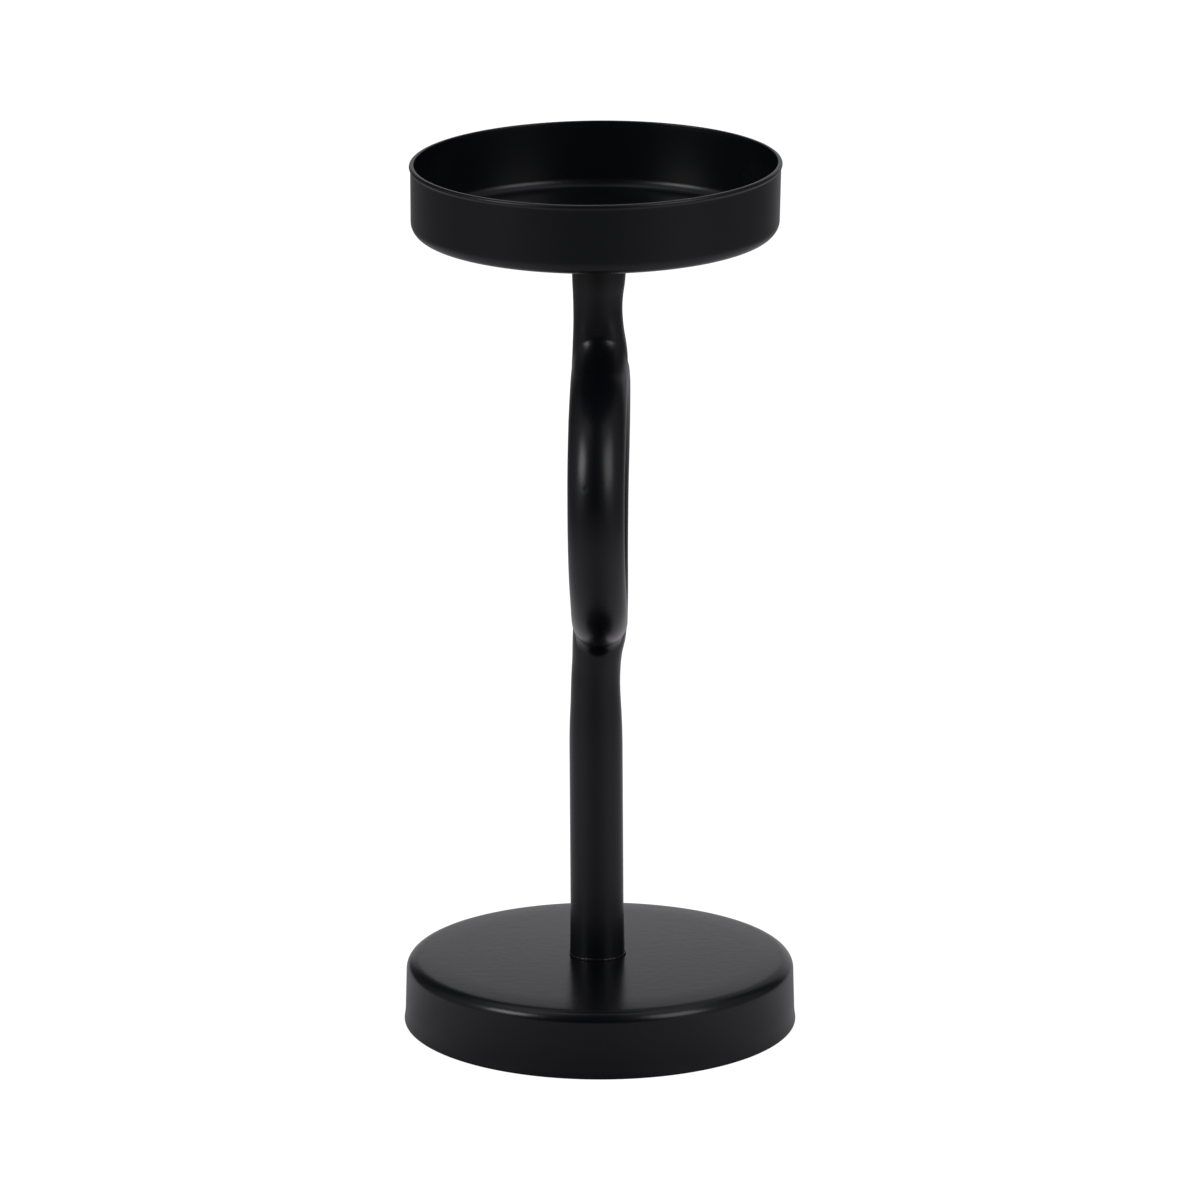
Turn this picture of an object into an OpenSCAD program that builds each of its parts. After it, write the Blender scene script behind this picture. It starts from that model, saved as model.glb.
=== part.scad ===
// Pillar candle holder: a shallow dish on a tubular stem, with a round ring of
// bent tube set edge-on in the middle of the stem, on a weighted round base.
// Units are millimetres, +Z is up, and the table is at z = 0. The ring lies in
// the plane of Y and Z, so that its opening runs along X.

/* [Overall] */
// Height of the dish's rim above the table
overall_h = 270; // [230:1:340]
// Distance from the dish's underside down to the ring's centre
ring_down = 82; // [76:0.1:95]
// Width left between parts that are fused together, so that none overlap
fuse_gap = 0.02; // [0.01:0.01:0.05]
// Radial clearance of a screw in its thread and of a plug in its tube
fit_gap = 0.05; // [0.02:0.01:0.1]
// How far a cutting tool runs past the face that it opens
cut_past = 1; // [0.5:0.1:2]

/* [Dish] */
// Outer diameter of the dish over its rim bead
dish_d = 112; // [80:1:150]
// Outer height of the dish
dish_h = 21.4; // [14:0.1:30]
// Sheet thickness of the dish
dish_t = 1; // [0.8:0.1:1.6]
// Outer rounding where the dish's floor turns up into its wall
dish_bend_r = 4; // [2.5:0.1:6]
// How far the wall leans out from the bend to the rim
dish_lean = 0.2; // [0:0.05:1]
// Height of the bead that is rolled along the rim
rim_h = 2.8; // [1.6:0.1:4]
// How far the rim bead stands proud of the wall
rim_proud = 0.4; // [0.2:0.05:1]
// Rounding of the rim bead's outer and upper edges
rim_round_r = 0.6; // [0.3:0.05:0.65]

/* [Dish screw] */
// Thread diameter of the countersunk screw in the dish
screw_d = 5; // [4:0.5:6]
// Diameter of the countersunk head
screw_head_d = 10; // [8:0.5:11]
// Overall length of the countersunk screw
screw_l = 10; // [8:0.5:11]
// Height of the straight edge of the screw head
screw_edge_h = 0.3; // [0.2:0.1:0.5]
// How far the head lies below the dish's floor
screw_sink = 0.1; // [0.05:0.05:0.3]
// Width across the flats of the screw's hexagon socket
screw_socket_w = 3; // [2.5:0.5:3.5]
// Depth of the screw's hexagon socket
screw_socket_h = 1.9; // [1.2:0.1:2.5]
// Radial clearance round the screw in the dish's hole and dimple
screw_play = 0.1; // [0.05:0.05:0.3]

/* [Stem tube] */
// Outer diameter of the stem tube
tube_d = 16; // [13:0.1:19]
// Wall thickness of the stem tube and of the ring's tube
tube_t = 1.2; // [0.9:0.1:1.8]

/* [Upper joint] */
// How much narrower than the tube the neck above the ring is, in radius
up_neck_in = 0.73; // [0.3:0.01:1.2]
// How much wider than its neck the upper stem's mouth is, in radius
up_mouth_out = 1.13; // [0.5:0.01:1.25]
// Depth below the ring's crown at which the upper stem's mouth starts to narrow
up_mouth_down = 5.5; // [3:0.1:7]
// Height of the upper neck above the ring's crown
up_neck_up = 12.1; // [9:0.1:15]
// Height above the ring's crown at which the upper stem has its full width
up_tube_up = 25.1; // [20:0.1:27]

/* [Lower joint] */
// How much narrower than the tube the neck below the ring is, in radius
low_neck_in = 0.72; // [0.3:0.01:1.2]
// How much wider than its neck the lower stem's mouth is, in radius
low_mouth_out = 0.8; // [0.3:0.01:1.2]
// Depth into the ring at which the lower stem's mouth starts to narrow
low_mouth_down = 4; // [3.5:0.1:6]
// Distance of the lower neck from the ring's crown
low_neck_up = 9; // [7:0.1:14]
// Distance from the ring's crown at which the lower stem has its full width
low_tube_up = 33.5; // [22:0.5:45]

// Steps along the curved part of each stem
neck_steps = 24; // [12:2:40]

/* [Joint fillets] */
// Radius of the hollow fillet above the ring
up_fillet_r = 7.8; // [4:0.1:9]
// Radius of the hollow fillet below the ring
low_fillet_r = 7; // [4:0.1:9]
// Share of a round arc's hollow that the face of the fillet above the ring has
up_hollow_share = 0.5; // [0.2:0.05:0.9]
// Share of a round arc's hollow that the face of the fillet below the ring has
low_hollow_share = 0.8; // [0.2:0.05:0.9]
// Share of its radius with which the fillet above the ring runs out over the ring
up_reach_share = 1.8; // [1:0.1:1.8]
// Share of its radius with which the fillet below the ring runs out over the ring
low_reach_share = 1.3; // [1:0.1:1.8]
// Angle from the ring's side at which the fillet above the ring starts
up_fillet_from = 34; // [30:1:54]
// Angle from the ring's side at which the fillet below the ring starts
low_fillet_from = 36; // [30:1:54]
// Angle over which a fillet grows from a thin end to its full radius
fillet_grow = 20; // [10:1:24]
// Share of its full radius that a fillet has at its thin ends
fillet_end_share = 0.3; // [0.2:0.05:0.6]
// Steps along one fillet bead
fillet_steps = 26; // [16:2:40]
// Steps across the hollow face of a fillet bead
hollow_steps = 9; // [5:1:12]
// Steps across each seat of a fillet bead
seat_steps = 3; // [2:1:5]

/* [Ring] */
// Diameter of the ring at the centre of its tube
ring_d = 76.8; // [60:0.1:90]
// Width of the ring's tube along the ring's axis
ring_w = 17; // [16.8:0.1:20]
// Thickness of the ring's tube in the ring's plane
ring_h = 15; // [13:0.1:16]

/* [Base] */
// Diameter of the base at its lower edge
base_d = 120; // [90:1:160]
// Height of the base
base_h = 20; // [17:0.1:30]
// Rounding of the base's upper edge
base_edge_r = 3.6; // [2:0.1:6]
// How far the base's wall leans in from the flare to the upper edge
base_lean = 0.3; // [0:0.05:1]
// How far the lower edge flares out past the wall
flare_out = 0.4; // [0.1:0.05:1]
// Height at which the flare of the lower edge ends
flare_h = 5; // [2:0.1:8]
// Height of the upright band at the very bottom of the cover
flare_band_h = 0.8; // [0.4:0.1:1.6]
// Sheet thickness of the base cover
cover_t = 1.2; // [0.8:0.1:2]
// Width of the bead at the foot of the stem
foot_bead_w = 1; // [0.5:0.1:2]

/* [Ballast and pad] */
// Thickness of the ballast's plate
plate_t = 6; // [4:0.1:7]
// Width of the ballast's outer rim
rim_w = 10; // [6:0.5:16]
// Clearance between the ballast and the cover's wall
ballast_gap = 0.4; // [0.2:0.1:0.8]
// Thickness of the pad under the base
pad_t = 1.5; // [1:0.1:3]
// Clearance between the pad and the cover's wall
pad_gap = 0.2; // [0.1:0.1:0.5]

/* [Base bolt] */
// Thread diameter of the bolt from below
bolt_d = 8; // [6:0.5:9]
// Length of the bolt under its head
bolt_l = 25; // [20:1:30]
// Width across the flats of the bolt's head
bolt_head_w = 13; // [10:0.5:16]
// Height of the bolt's head
bolt_head_h = 5.3; // [4:0.1:6]
// Radial clearance round the bolt in the cover, the ballast and the washer
bolt_play = 0.3; // [0.1:0.05:0.6]
// Outer diameter of the washer
washer_d = 24; // [16:0.5:30]
// Thickness of the washer
washer_t = 2; // [1:0.1:3]

/* [Threaded plugs] */
// Share of the upper stem's straight end that the upper plug fills
up_plug_share = 0.96; // [0.8:0.01:0.99]
// Length of the lower plug
low_plug_l = 22; // [18:0.5:40]
// Chamfer on the inner end of each plug
plug_chamfer = 0.8; // [0.4:0.1:1.2]

/* [Hidden] */
$fn = 96;

black = [0.03, 0.03, 0.032];
iron = [0.2, 0.2, 0.21];
steel = [0.6, 0.61, 0.63];
felt = [0.08, 0.08, 0.08];

// Heights of the main parts
dish_z = overall_h - dish_h;
floor_z = dish_z + dish_t;
ring_z = dish_z - ring_down;
plate_top = base_h - cover_t;
plate_z = plate_top - plate_t;
washer_z = plate_z - washer_t;

// Dish
rim_out_r = dish_d / 2;
dish_top_r = rim_out_r - rim_proud;
dish_low_r = dish_top_r - dish_lean;
rim_z = overall_h - rim_h;
wall_end_z = rim_z + rim_h / 2;
head_r = screw_head_d / 2;
head_z = floor_z - screw_sink;
socket_r = screw_socket_w / sqrt(3);
// The dimple keeps the sheet's thickness measured square to its cone
dimple_r = head_r + screw_play + screw_sink + screw_edge_h;
dimple_out_r = dimple_r + dish_t * (sqrt(2) - 1);
dimple_hole_r = screw_d / 2 + screw_play;
// The dimple's lower end is blunt, half as wide as the sheet is thick
dimple_end_r = dimple_hole_r + dish_t / 2;
dimple_drop = dimple_out_r - dimple_end_r;
// The dimple's body reaches into the floor by half the sheet's thickness
dimple_top_r = dimple_out_r + dish_t / 2;

// Ring tube: an oval that the bending has left a little wider than thick
ring_r = ring_d / 2;
half_w = ring_w / 2;
half_h = ring_h / 2;
ring_out_r = ring_r + half_h;
seat_w = half_w + fuse_gap;
seat_h = half_h + fuse_gap;

// Stem tube; k holds one stem's mouth radius, neck radius and three heights,
// then the radius, hollow share, start angle and reach share of its fillet
tube_r = tube_d / 2;
up_neck_r = tube_r - up_neck_in;
low_neck_r = tube_r - low_neck_in;
up_k = [up_neck_r + up_mouth_out, up_neck_r, ring_out_r - up_mouth_down,
    ring_out_r + up_neck_up, ring_out_r + up_tube_up,
    up_fillet_r, up_hollow_share, up_fillet_from, up_reach_share];
low_k = [low_neck_r + low_mouth_out, low_neck_r, ring_out_r - low_mouth_down,
    ring_out_r + low_neck_up, ring_out_r + low_tube_up,
    low_fillet_r, low_hollow_share, low_fillet_from, low_reach_share];
up_len = ring_down;
low_len = ring_z - base_h;
plug_r = tube_r - tube_t - fit_gap;
up_plug_l = (up_len - up_k[4]) * up_plug_share;

// Base
base_r = base_d / 2;
wall_low_r = base_r - flare_out;
wall_top_r = wall_low_r - base_lean;
flare_rise = flare_h - flare_band_h;
flare_r = (flare_rise * flare_rise + flare_out * flare_out) / (2 * flare_out);

// Radius of the two equal arcs that join a neck to a wider part of the tube
function ogee_r(run, step) = (run * run + step * step) / (4 * step);
function mouth_arc(k) = ogee_r(k[3] - k[2], k[0] - k[1]);
function tube_arc(k) = ogee_r(k[4] - k[3], tube_r - k[1]);

// Outer radius of a stem at a height s above the ring's centre
function stem_r(k, s) =
    let (m = mouth_arc(k), t = tube_arc(k))
    s <= k[2] ? k[0]
    : s <= (k[2] + k[3]) / 2 ? k[0] - m + sqrt(m * m - pow(s - k[2], 2))
    : s <= k[3] ? k[1] + m - sqrt(m * m - pow(k[3] - s, 2))
    : s <= (k[3] + k[4]) / 2 ? k[1] + t - sqrt(t * t - pow(s - k[3], 2))
    : s <= k[4] ? tube_r - t + sqrt(t * t - pow(k[4] - s, 2))
    : tube_r;

// Sine of the upward lean of a stem's surface at a height s
function stem_lean(k, s) =
    let (m = mouth_arc(k), t = tube_arc(k))
    s <= k[2] ? 0
    : s <= (k[2] + k[3]) / 2 ? (s - k[2]) / m
    : s <= k[3] ? (k[3] - s) / m
    : s <= (k[3] + k[4]) / 2 ? -(s - k[3]) / t
    : s <= k[4] ? -(k[4] - s) / t
    : 0;

// Height of the ring's seat over its centreline, at x
function crown_up(x) = seat_h * sqrt(max(0, 1 - pow(x / seat_w, 2)));

// Point of the ring tube's section at the oval's angle t, and its normal there
function oval(t) = [seat_w * cos(t), seat_h * sin(t)];
function oval_normal(t) = unit([seat_h * cos(t), seat_w * sin(t)]);

// Angle of the oval at which a resting ball of radius r has its centre at x
function ball_t(r, x, low, high, n) =
    let (t = (low + high) / 2)
    n == 0 ? t
    : oval(t)[0] + r * oval_normal(t)[0] > x
    ? ball_t(r, x, t, high, n - 1)
    : ball_t(r, x, low, t, n - 1);

// Height over the ring's centre of a point over x, y that lies h above the
// tube's centreline
function over_ring(h, y) = sqrt(pow(ring_r + h, 2) - y * y);

// Radius of the ball that shapes the fillet at azimuth f
function fillet_at(k, f) =
    let (t = (min(f, 180 - f) - k[7]) / fillet_grow,
        q = min(1, max(0, t)))
    k[5] * mix(fillet_end_share, 1, q * q * (3 - 2 * q));

// Height at which a ball of radius r, at azimuth f, touches the stem
function touch_s(k, r, f, s, n) =
    n == 0 ? s
    : let (b = asin(stem_lean(k, s)),
        d = stem_r(k, s) + fuse_gap + r * cos(b),
        t = ball_t(r, d * cos(f), 0, 180, 24),
        h = oval(t)[1] + r * oval_normal(t)[1])
    touch_s(k, r, f, over_ring(h, d * sin(f)) - r * sin(b), n - 1);

// Centre of that ball
function ball_at(k, r, f, s) =
    let (b = asin(stem_lean(k, s)),
        d = stem_r(k, s) + fuse_gap + r * cos(b))
    [d * cos(f), d * sin(f), s + r * sin(b)];

// Height at which the stem's own surface, at azimuth f, meets the ring
function corner_s(k, f, s, n) =
    n == 0 ? s
    : let (d = stem_r(k, s) + fuse_gap)
    corner_s(k, f, over_ring(crown_up(d * cos(f)), d * sin(f)), n - 1);

// Point on the ring's surface, given by x and the angle a along the ring
function on_ring(x, a) =
    let (h = ring_r + crown_up(x))
    [x, h * sin(a), h * cos(a)];

// Point on the stem's surface at azimuth f and height s
function on_stem(k, f, s) =
    let (d = stem_r(k, s) + fuse_gap)
    [d * cos(f), d * sin(f), s];

function mix(p, q, t) = p + (q - p) * t;
function unit(v) = v / norm(v);

// Point at t on the curve from p to q that bends towards m, by a share
function bent(p, m, q, share, t) =
    let (a = pow(1 - t, 2), b = 2 * share * t * (1 - t), c = t * t)
    (a * p + b * m + c * q) / (a + b + c);

// A point in the stem's heights, taken to the far side of y where back is -1
// and to the stem that hangs below the ring where down is -1
function placed(p, back, down) =
    [p[0] * back, p[1] * back * down, ring_z + p[2] * down];

// Closed loop of points round a fillet bead at azimuth f: up the stem's seat,
// over the hollow face and back along the ring's seat to the corner
function bead_loop(k, f) =
    let (r = fillet_at(k, f),
        start = ring_out_r + r / 2,
        c = corner_s(k, f, start, 6),
        s = touch_s(k, r, f, start, 8),
        b = asin(stem_lean(k, s)),
        touch_stem = on_stem(k, f, s),
        reach = r * k[8],
        ball = ball_at(k, reach, f, touch_s(k, reach, f, start, 8)),
        ring_a = atan2(ball[1], ball[2]),
        t = ball_t(reach, ball[0], 0, 180, 24),
        foot = oval(t),
        n = oval_normal(t),
        touch_ring = [foot[0], (ring_r + foot[1]) * sin(ring_a),
            (ring_r + foot[1]) * cos(ring_a)],
        away = [n[0], n[1] * sin(ring_a), n[1] * cos(ring_a)],
        down = [sin(b) * cos(f), sin(b) * sin(f), -cos(b)],
        meet = touch_stem + down * ((touch_ring - touch_stem) * away) / (down * away),
        corner = on_stem(k, f, c),
        corner_a = atan2(corner[1], corner[2]))
    concat(
        [for (i = [0 : seat_steps - 1]) on_stem(k, f, mix(c, s, i / seat_steps))],
        [for (i = [0 : hollow_steps])
            let (t = i / hollow_steps)
            bent(touch_stem, meet, touch_ring, k[6], t)],
        [for (i = [1 : seat_steps - 1])
            let (t = i / seat_steps)
            on_ring(mix(foot[0], corner[0], t), mix(ring_a, corner_a, t))]);

loop_n = 2 * seat_steps + hollow_steps;
function at(i, j) = i * loop_n + (j % loop_n);

// One fillet bead between the ring and a stem
module fillet_bead(k, back, down) {
    turn = (180 - 2 * k[7]) / fillet_steps;
    points = [for (i = [0 : fillet_steps])
        for (p = bead_loop(k, k[7] + i * turn)) placed(p, back, down)];
    side = [for (i = [0 : fillet_steps - 1], j = [0 : loop_n - 1])
        each [[at(i, j), at(i, j + 1), at(i + 1, j + 1)],
            [at(i, j), at(i + 1, j + 1), at(i + 1, j)]]];
    first = [for (j = [1 : loop_n - 2]) [at(0, 0), at(0, j + 1), at(0, j)]];
    last = [for (j = [1 : loop_n - 2])
        [at(fillet_steps, 0), at(fillet_steps, j), at(fillet_steps, j + 1)]];
    polyhedron(points = points, faces = concat(side, first, last), convexity = 4);
}

// Heights at which a stem's section has its points
function stem_heights(k, end) =
    concat([ring_r], [for (i = [0 : neck_steps]) mix(k[2], k[4], i / neck_steps)], [end]);

// Half section of a stem's wall: up its outside and down its inside
module stem_section(k, end) {
    up = stem_heights(k, end);
    n = len(up) - 1;
    polygon(concat(
        [for (s = up) [stem_r(k, s), s]],
        [for (i = [n : -1 : 0]) [stem_r(k, up[i]) - tube_t, up[i]]]));
}

// Section of the ring's tube about the ring's axis, grown by g
module ring_section(g) {
    translate([ring_r, 0])
        scale([1, (half_w + g) / (half_h + g)])
            circle(r = half_h + g);
}

// The ring's outer body, grown by g, with its axis along X
module ring_body(g) {
    rotate([0, 90, 0])
        rotate_extrude()
            ring_section(g);
}

// A stem in its own heights: a necked tube cut to a saddle on the ring
module saddle_tube(k, end) {
    difference() {
        rotate_extrude()
            stem_section(k, end);
        ring_body(fuse_gap);
    }
}

// Half section of a cup, filled to its axis, with a rounded lower edge
module cup_fill(low_r, high_r, z0, z1, bend_r) {
    translate([0, z0]) square([low_r - bend_r, bend_r]);
    intersection() {
        translate([low_r - bend_r, z0 + bend_r]) circle(r = bend_r);
        translate([0, z0]) square([low_r, bend_r]);
    }
    polygon([[0, z0 + bend_r], [low_r, z0 + bend_r], [high_r, z1], [0, z1]]);
}

// Half section of the rim's bead with three rounded edges
module rim_bead_fill() {
    in_r = dish_top_r - dish_t;
    w = rim_out_r - in_r;
    e = rim_round_r;
    translate([in_r, rim_z]) square([w - e, rim_h - e]);
    translate([in_r + e, rim_z + e]) square([w - e, rim_h - 2 * e]);
    translate([in_r + e, rim_z + e]) square([w - 2 * e, rim_h - e]);
    translate([rim_out_r - e, rim_z + e]) circle(r = e, $fn = 48);
    translate([rim_out_r - e, overall_h - e]) circle(r = e, $fn = 48);
    translate([in_r + e, overall_h - e]) circle(r = e, $fn = 48);
}

module dish() {
    color(black)
    difference() {
        union() {
            rotate_extrude($fn = 180) {
                difference() {
                    cup_fill(dish_low_r, dish_top_r, dish_z, wall_end_z, dish_bend_r);
                    cup_fill(dish_low_r - dish_t, dish_top_r - dish_t, floor_z,
                        wall_end_z, dish_bend_r - dish_t);
                }
                rim_bead_fill();
            }
            translate([0, 0, dish_z - dimple_drop])
                cylinder(r1 = dimple_end_r, r2 = dimple_top_r,
                    h = dimple_drop + dish_t / 2);
        }
        translate([0, 0, floor_z - dimple_r])
            cylinder(r1 = 0, r2 = dimple_r + cut_past, h = dimple_r + cut_past);
        translate([0, 0, dish_z - dish_h / 2])
            cylinder(r = dimple_hole_r, h = dish_h);
    }
}

module dish_screw() {
    tip_z = head_z - screw_l;
    cone_h = head_r - screw_d / 2;
    cone_top = head_z - screw_edge_h;
    color(steel)
    difference() {
        union() {
            translate([0, 0, tip_z])
                cylinder(d = screw_d, h = cone_top - cone_h - tip_z);
            translate([0, 0, cone_top - cone_h])
                cylinder(r1 = screw_d / 2, r2 = head_r, h = cone_h);
            translate([0, 0, cone_top])
                cylinder(r = head_r, h = screw_edge_h);
        }
        translate([0, 0, head_z - screw_socket_h])
            cylinder(r = socket_r, h = screw_socket_h + cut_past, $fn = 6);
    }
}

// A threaded plug: chamfered at its inner end, bored through for its screw
module plug(len, thread_r) {
    difference() {
        union() {
            cylinder(r = plug_r, h = len - plug_chamfer);
            translate([0, 0, len - plug_chamfer])
                cylinder(r1 = plug_r, r2 = plug_r - plug_chamfer, h = plug_chamfer);
        }
        translate([0, 0, -cut_past])
            cylinder(r = thread_r, h = len + 2 * cut_past);
    }
}

module upper_insert() {
    seat_r = dimple_out_r + fit_gap;
    color(steel)
    difference() {
        translate([0, 0, dish_z])
            rotate([180, 0, 0])
                plug(up_plug_l, screw_d / 2 + fit_gap);
        translate([0, 0, dish_z - seat_r])
            cylinder(r1 = 0, r2 = seat_r + cut_past, h = seat_r + cut_past);
    }
}

module upper_stem() {
    color(black)
    translate([0, 0, ring_z])
        saddle_tube(up_k, up_len);
}

module upper_weld() {
    color(black) {
        fillet_bead(up_k, 1, 1);
        fillet_bead(up_k, -1, 1);
    }
}

module ring() {
    color(black)
    translate([0, 0, ring_z])
        difference() {
            ring_body(0);
            ring_body(-tube_t);
        }
}

module lower_weld() {
    color(black) {
        fillet_bead(low_k, 1, -1);
        fillet_bead(low_k, -1, -1);
    }
}

module lower_stem() {
    color(black)
    translate([0, 0, ring_z])
        rotate([180, 0, 0])
            saddle_tube(low_k, low_len);
}

module lower_insert() {
    color(steel)
    translate([0, 0, base_h])
        plug(low_plug_l, bolt_d / 2 + fit_gap);
}

module foot_bead() {
    in_r = tube_r + fuse_gap;
    color(black)
    rotate_extrude()
        intersection() {
            translate([in_r, base_h]) circle(r = foot_bead_w);
            translate([in_r, base_h]) square(foot_bead_w);
        }
}

// Half section of the base's outer shape, filled to its axis
module base_fill() {
    difference() {
        union() {
            translate([0, base_h])
                mirror([0, 1])
                    cup_fill(wall_top_r, wall_low_r, 0, base_h - flare_h, base_edge_r);
            square([base_r, flare_h]);
        }
        translate([wall_low_r + flare_r, flare_h]) circle(r = flare_r, $fn = 360);
    }
}

module base_cover() {
    color(black)
    difference() {
        rotate_extrude($fn = 180)
            difference() {
                base_fill();
                translate([0, plate_top])
                    mirror([0, 1])
                        cup_fill(wall_top_r - cover_t, wall_low_r - cover_t, 0,
                            plate_top, base_edge_r - cover_t);
            }
        cylinder(r = bolt_d / 2 + bolt_play, h = base_h + cut_past);
    }
}

module ballast() {
    side_r = wall_top_r - cover_t - ballast_gap;
    color(iron)
    difference() {
        translate([0, 0, pad_t])
            rotate_extrude($fn = 180)
                translate([0, plate_top - pad_t])
                    mirror([0, 1])
                        cup_fill(side_r, side_r, 0, plate_top - pad_t,
                            base_edge_r - cover_t);
        translate([0, 0, pad_t - cut_past])
            cylinder(r = side_r - rim_w, h = plate_z - pad_t + cut_past);
        cylinder(r = bolt_d / 2 + bolt_play, h = base_h);
    }
}

module base_washer() {
    color(steel)
    translate([0, 0, washer_z])
        difference() {
            cylinder(d = washer_d, h = washer_t);
            translate([0, 0, -cut_past])
                cylinder(r = bolt_d / 2 + bolt_play, h = washer_t + 2 * cut_past);
        }
}

module base_bolt() {
    color(steel)
    translate([0, 0, washer_z]) {
        translate([0, 0, -bolt_head_h])
            cylinder(r = bolt_head_w / sqrt(3), h = bolt_head_h, $fn = 6);
        cylinder(d = bolt_d, h = bolt_l);
    }
}

module base_pad() {
    color(felt)
    cylinder(r = wall_low_r - cover_t - pad_gap, h = pad_t, $fn = 180);
}

dish();
dish_screw();
upper_insert();
upper_stem();
upper_weld();
ring();
lower_weld();
lower_stem();
lower_insert();
foot_bead();
base_cover();
ballast();
base_washer();
base_bolt();
base_pad();
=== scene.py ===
"""Looks of the pillar candle holder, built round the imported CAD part. Lengths in metres."""

import math
from types import SimpleNamespace

import bpy
import numpy as np
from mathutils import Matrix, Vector


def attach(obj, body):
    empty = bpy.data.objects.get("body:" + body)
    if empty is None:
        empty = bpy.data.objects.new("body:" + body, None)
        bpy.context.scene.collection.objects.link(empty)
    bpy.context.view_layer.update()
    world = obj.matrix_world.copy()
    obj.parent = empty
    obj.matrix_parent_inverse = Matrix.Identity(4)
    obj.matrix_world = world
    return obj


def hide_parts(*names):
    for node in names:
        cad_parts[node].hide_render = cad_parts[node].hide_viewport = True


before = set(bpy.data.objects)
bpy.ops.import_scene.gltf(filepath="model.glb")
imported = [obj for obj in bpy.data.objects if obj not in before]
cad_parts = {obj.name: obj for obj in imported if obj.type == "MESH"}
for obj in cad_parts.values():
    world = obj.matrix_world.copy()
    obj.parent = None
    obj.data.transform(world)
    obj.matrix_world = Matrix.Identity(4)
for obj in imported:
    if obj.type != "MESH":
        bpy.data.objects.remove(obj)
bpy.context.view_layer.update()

MM = 0.001

# Main sizes in millimetres, as measured in the photograph through the fitted camera. They
# are the part's own, but the stem's radius is 0.12 mm larger, the ring's centre 0.43 mm
# lower and the base's top 0.28 mm lower.
OVERALL_H = 270.0
RING_Z = 166.17
RING_R = 38.4
HALF_W = 8.5
HALF_H = 7.5
TUBE_R = 8.12
TUBE_T = 1.2
BASE_H = 19.72
DISH_Z = 248.6
DISH_H = 21.4
DISH_T = 1.0
CROWN = RING_R + HALF_H

# Segments of the turned skins and columns of the stems' skins
SEGMENTS = 360
STEM_COLS = 288

# Each stem's mouth and neck radius, and the heights over the ring's centre at which it has
# them and at which its plain tube begins. Both are drawn as if they stood on the ring.
UP = SimpleNamespace(
    mouth=8.40, neck=7.42, mouth_h=CROWN - 5.5, neck_h=CROWN + 12.1, tube_h=CROWN + 25.1,
)
LOW = SimpleNamespace(
    mouth=8.32, neck=7.45, mouth_h=CROWN - 4.0, neck_h=CROWN + 9.0, tube_h=CROWN + 33.5,
)

# Each joint's fillet: its radius, its share of a round arc's hollow, the angles from the
# ring's side at which it is thin and at which it is full, its reach over the ring, its
# sideways lift and the power that makes its section squarish
UP_FILLET = SimpleNamespace(
    radius=8.8, share=0.65, thin=12.0, full=36.0, reach=1.8, lift=0.3, power=2.6,
)
LOW_FILLET = SimpleNamespace(
    radius=6.0, share=0.6, thin=28.0, full=42.0, reach=1.4, lift=0.2, power=2.3,
)
# What is left of a fillet's radius where it is thin
THIN_SHARE = 0.3

# The hand-made sample isn't quite straight: height and sideways offset of its axis
AXIS = (
    (0.0, -0.80),
    (20.0, -0.80),
    (39.6, -0.92),
    (74.6, -1.13),
    (99.6, -1.27),
    (108.6, -1.30),
    (114.1, -1.02),
    (117.6, -0.72),
    (120.6, -0.34),
    (124.6, -0.05),
    (128.6, 0.04),
    (135.6, -0.06),
    (147.6, -0.30),
    (159.6, -0.40),
    (170.6, -0.34),
    (182.6, -0.25),
    (194.6, -0.12),
    (204.6, -0.07),
    (211.6, -0.05),
    (214.8, -0.22),
    (217.9, -0.42),
    (221.0, -0.55),
    (224.6, -0.65),
    (227.6, -0.62),
    (232.3, -0.42),
    (235.6, -0.33),
    (249.6, -0.30),
)

# Height and width of the bent tube, as a share of its mean width
WIDE_SHARES = (
    (112.0, 1.0),
    (118.0, 0.975),
    (126.0, 0.985),
    (136.0, 1.0),
    (160.0, 1.0),
    (176.0, 1.005),
    (186.0, 1.015),
    (196.0, 1.02),
    (206.0, 1.008),
    (212.0, 1.0),
)

# Height and turn of the bent tube's plane about the upright, as a slope
TWIST = (
    (120.0, 0.0145),
    (138.0, 0.0165),
    (149.0, 0.010),
    (159.0, 0.006),
    (169.0, 0.002),
    (178.0, -0.001),
    (195.0, -0.003),
    (212.0, 0.0),
)


def between(table, z):
    """Value at height z on straight lines between the points of a table."""
    return np.interp(z, [p[0] for p in table], [p[1] for p in table])


def twist(z):
    """Sideways slope of the bent tube's plane at height z."""
    return between(TWIST, z)


def widen(z):
    """Share of the mean width that the tube has at height z."""
    return between(WIDE_SHARES, z)


def axis_x(z):
    """Sideways offset of the stem's axis at height z, on a smooth curve through its points."""
    zs = np.array([p[0] for p in AXIS])
    xs = np.array([p[1] for p in AXIS])
    step = np.diff(zs)
    slope = np.diff(xs) / step
    m = np.zeros_like(xs)
    m[1:-1] = (slope[:-1] * step[1:] + slope[1:] * step[:-1]) / (step[:-1] + step[1:])
    m[0] = slope[0]
    m[-1] = slope[-1]
    z = np.clip(np.asarray(z, dtype=float), zs[0], zs[-1])
    i = np.clip(np.searchsorted(zs, z) - 1, 0, len(step) - 1)
    t = (z - zs[i]) / step[i]
    a = 2 * t**3 - 3 * t**2 + 1
    b = t**3 - 2 * t**2 + t
    c = -2 * t**3 + 3 * t**2
    d = t**3 - t**2
    return a * xs[i] + b * step[i] * m[i] + c * xs[i + 1] + d * step[i] * m[i + 1]


def eased(q):
    """Share from 0 to 1 with a soft start and a soft end."""
    return q * q * (3 - 2 * q)


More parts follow.
